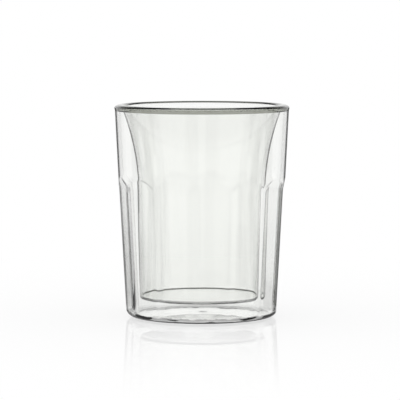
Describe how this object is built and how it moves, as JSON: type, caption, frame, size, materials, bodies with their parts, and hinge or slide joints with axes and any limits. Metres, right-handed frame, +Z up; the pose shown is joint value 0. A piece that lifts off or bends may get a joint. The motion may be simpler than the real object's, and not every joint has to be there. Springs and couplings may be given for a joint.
{
  "type": "double walled glass cup",
  "caption": "Clear double walled drinking glass: a flared inner well fused by a rolled rim bead into a tapered outer wall with flat arched panels, vent sealed under the base.",
  "frame": {"origin": "centre of the ring that the cup stands on, at table height", "axes": "+Z up along the cup's own axis; a ridge between two panels looks along -X and the middle of a panel looks along +X"},
  "size_m": [0.088, 0.088, 0.107],
  "materials": {
    "wall_glass": "clear, fire polished, faint green in the edges",
    "well_glass": "clear, fire polished",
    "bead_glass": "clear, rolled and fire polished",
    "seal_glass": "clear, melted drop"
  },
  "bodies": {
    "root": {"outer_wall": "wall_glass", "inner_wall": "well_glass", "rim_bead": "bead_glass", "vent_seal": "seal_glass"}
  },
  "joints": []
}
